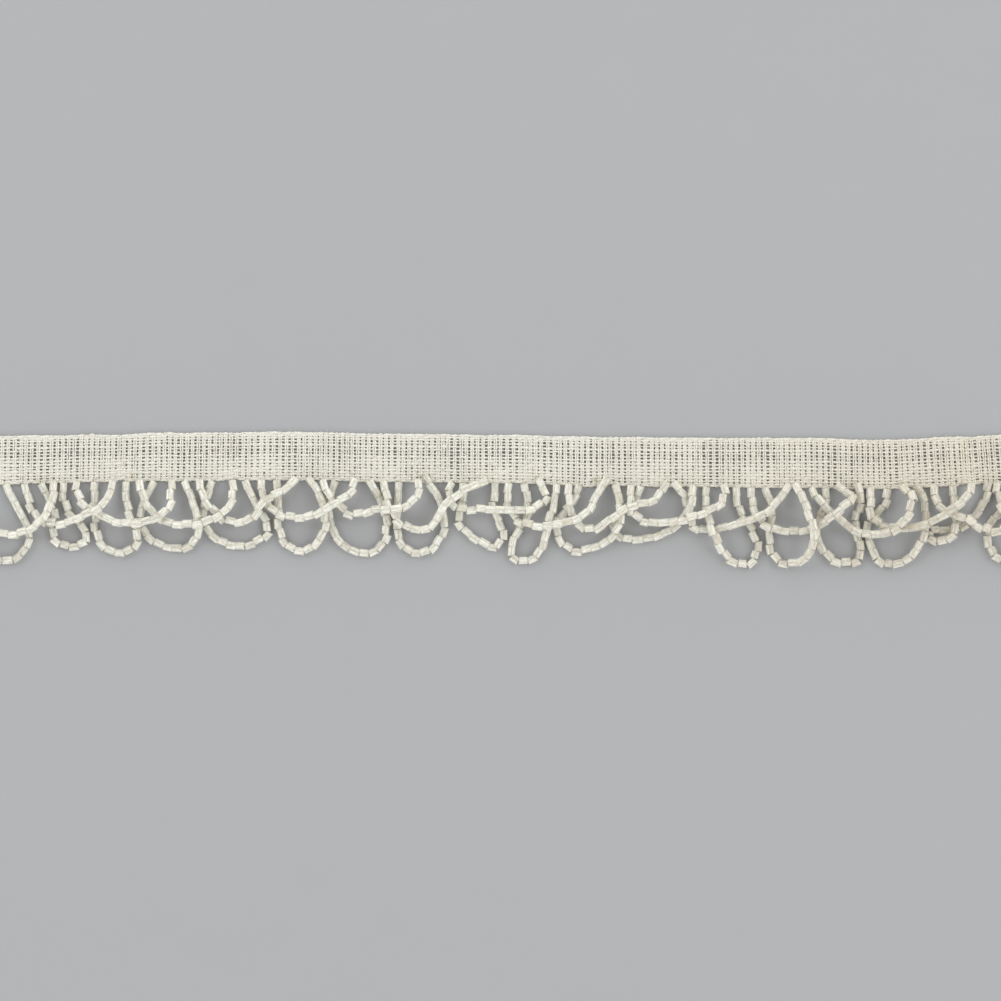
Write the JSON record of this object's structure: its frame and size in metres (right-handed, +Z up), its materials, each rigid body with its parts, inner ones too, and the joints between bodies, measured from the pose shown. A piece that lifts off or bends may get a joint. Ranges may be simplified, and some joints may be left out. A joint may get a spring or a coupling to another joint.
{
  "type": "beaded fringe",
  "caption": "Cut length of woven cotton tape with overlapping loops of short tube beads along one edge, lying flat; a sewn-on trimming for cushions, curtains, shades and dress.",
  "frame": {"origin": "on the surface the fringe lies on, under the middle of its bounding box", "axes": "+X along the tape, +Y across it towards its plain edge, +Z up out of the cloth's face"},
  "size_m": [0.2882, 0.0342, 0.0076],
  "materials": {
    "cotton_tape": "matte plain weave",
    "ivory_beads": "satin opaque glass"
  },
  "bodies": {
    "root": {"tape": "cotton_tape", "bead_fringe": "ivory_beads"}
  },
  "joints": []
}
